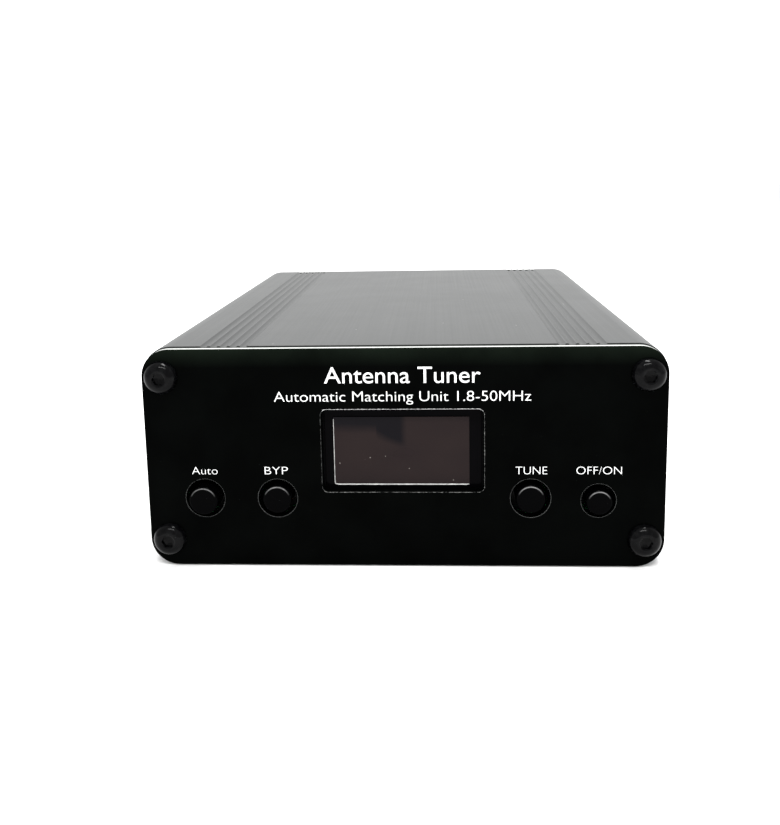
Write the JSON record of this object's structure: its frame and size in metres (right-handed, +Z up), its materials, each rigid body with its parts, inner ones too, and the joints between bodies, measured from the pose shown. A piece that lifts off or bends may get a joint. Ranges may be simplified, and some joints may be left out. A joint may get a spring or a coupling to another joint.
{
  "type": "antenna tuner",
  "caption": "Automatic antenna tuner in a black split aluminium case: display window and push buttons in front; coaxial sockets, power jack and ground terminal behind.",
  "frame": {"origin": "centre of the case's underside", "axes": "+X to the right as seen from the front, +Y from the front panel to the rear panel, +Z up"},
  "size_m": [0.0888, 0.1273, 0.0388],
  "materials": {
    "case_black": "black anodised, satin",
    "panel_black": "black solder mask over glass epoxy, satin gloss",
    "screw_black": "black oxide",
    "nickel_plate": "nickel plate, bright",
    "steel_plain": "zinc plate",
    "brass_plain": "turned brass",
    "silver_contact": "silver plate",
    "ptfe_white": "white fluoropolymer",
    "display_glass": "dark glass over a black mask",
    "display_film": "brownish polarising film",
    "board_black": "black solder mask",
    "board_green": "green solder mask",
    "key_black": "glossy black moulding",
    "switch_plastic": "black moulding",
    "gold_pin": "gold flash",
    "relay_case": "blue moulded case",
    "core_red": "painted iron powder core",
    "core_grey": "sintered ferrite",
    "copper_wire": "enamelled copper",
    "ceramic_tan": "ceramic chip",
    "chip_black": "moulded epoxy",
    "capacitor_sleeve": "dark shrink sleeve",
    "wire_red": "soft insulation",
    "wire_green": "soft insulation"
  },
  "bodies": {
    "case": {"air_core_coils": "copper_wire", "antenna_lead": "copper_wire", "antenna_socket_body": "nickel_plate", "antenna_socket_contact": "silver_contact", "antenna_socket_insulator": "ptfe_white", "auto_switch_body": "switch_plastic", "bank_capacitors": "ceramic_tan", "bypass_switch_body": "switch_plastic", "capacitor_relays": "relay_case", "coupler_cores": "core_grey", "coupler_windings": "copper_wire", "dc_jack_body": "switch_plastic", "dc_jack_centre_pin": "nickel_plate", "dc_jack_nut": "nickel_plate", "dc_leads": "wire_red", "display_board": "board_black", "display_glass": "display_glass", "display_header": "switch_plastic", "display_pins": "gold_pin", "display_polariser": "display_film", "front_panel": "panel_black", "front_panel_screws": "screw_black", "ground_hex_nut": "steel_plain", "ground_lead": "wire_green", "ground_lock_washer": "steel_plain", "ground_solder_tag": "brass_plain", "ground_stud": "steel_plain", "inductor_relays": "relay_case", "lower_shell": "case_black", "main_board": "board_green", "microcontroller": "chip_black", "network_relay": "relay_case", "power_switch_body": "switch_plastic", "power_switch_spring": "steel_plain", "radio_lead": "copper_wire", "radio_socket_body": "nickel_plate", "radio_socket_contact": "silver_contact", "radio_socket_insulator": "ptfe_white", "rear_panel": "panel_black", "rear_panel_screws": "screw_black", "relay_drivers": "chip_black", "smoothing_capacitors": "capacitor_sleeve", "socket_nuts": "steel_plain", "socket_screws": "steel_plain", "toroid_cores": "core_red", "toroid_windings": "copper_wire", "tune_switch_body": "switch_plastic", "upper_shell": "case_black", "voltage_regulator": "chip_black"},
    "auto_button": {"auto_button_cap": "key_black", "auto_switch_plunger": "switch_plastic"},
    "bypass_button": {"bypass_button_cap": "key_black", "bypass_switch_plunger": "switch_plastic"},
    "tune_button": {"tune_button_cap": "key_black", "tune_switch_plunger": "switch_plastic"},
    "power_button": {"power_button_cap": "key_black", "power_switch_plunger": "switch_plastic"},
    "ground_washer": {"ground_flat_washer": "steel_plain"},
    "ground_nut": {"ground_thumb_nut": "brass_plain"}
  },
  "joints": [
    {"name": "auto_press", "type": "slide", "parent": "case", "child": "auto_button", "axis": [0, 1, 0], "range_m": [0, 0.00025], "stiffness_N_per_m": 400, "springref_m": -0.0005},
    {"name": "bypass_press", "type": "slide", "parent": "case", "child": "bypass_button", "axis": [0, 1, 0], "range_m": [0, 0.00025], "stiffness_N_per_m": 400, "springref_m": -0.0005},
    {"name": "tune_press", "type": "slide", "parent": "case", "child": "tune_button", "axis": [0, 1, 0], "range_m": [0, 0.00025], "stiffness_N_per_m": 400, "springref_m": -0.0005},
    {"name": "power_press", "type": "slide", "parent": "case", "child": "power_button", "axis": [0, 1, 0], "range_m": [0, 0.0018], "stiffness_N_per_m": 150, "springref_m": -0.002, "deforming": ["power_switch_spring"]},
    {"name": "ground_washer_slide", "type": "slide", "parent": "case", "child": "ground_washer", "axis": [0, 1, 0], "range_m": [0, 0.00141]},
    {"name": "ground_nut_turn", "type": "hinge", "parent": "ground_washer", "child": "ground_nut", "pos_m": [0, 0.0639, 0.0119], "axis": [0, 1, 0], "range_deg": [0, 720]}
  ],
  "couplings": [
    {"joint": "ground_washer_slide", "follows": "ground_nut_turn", "m_per_rad": 0.00011141}
  ]
}
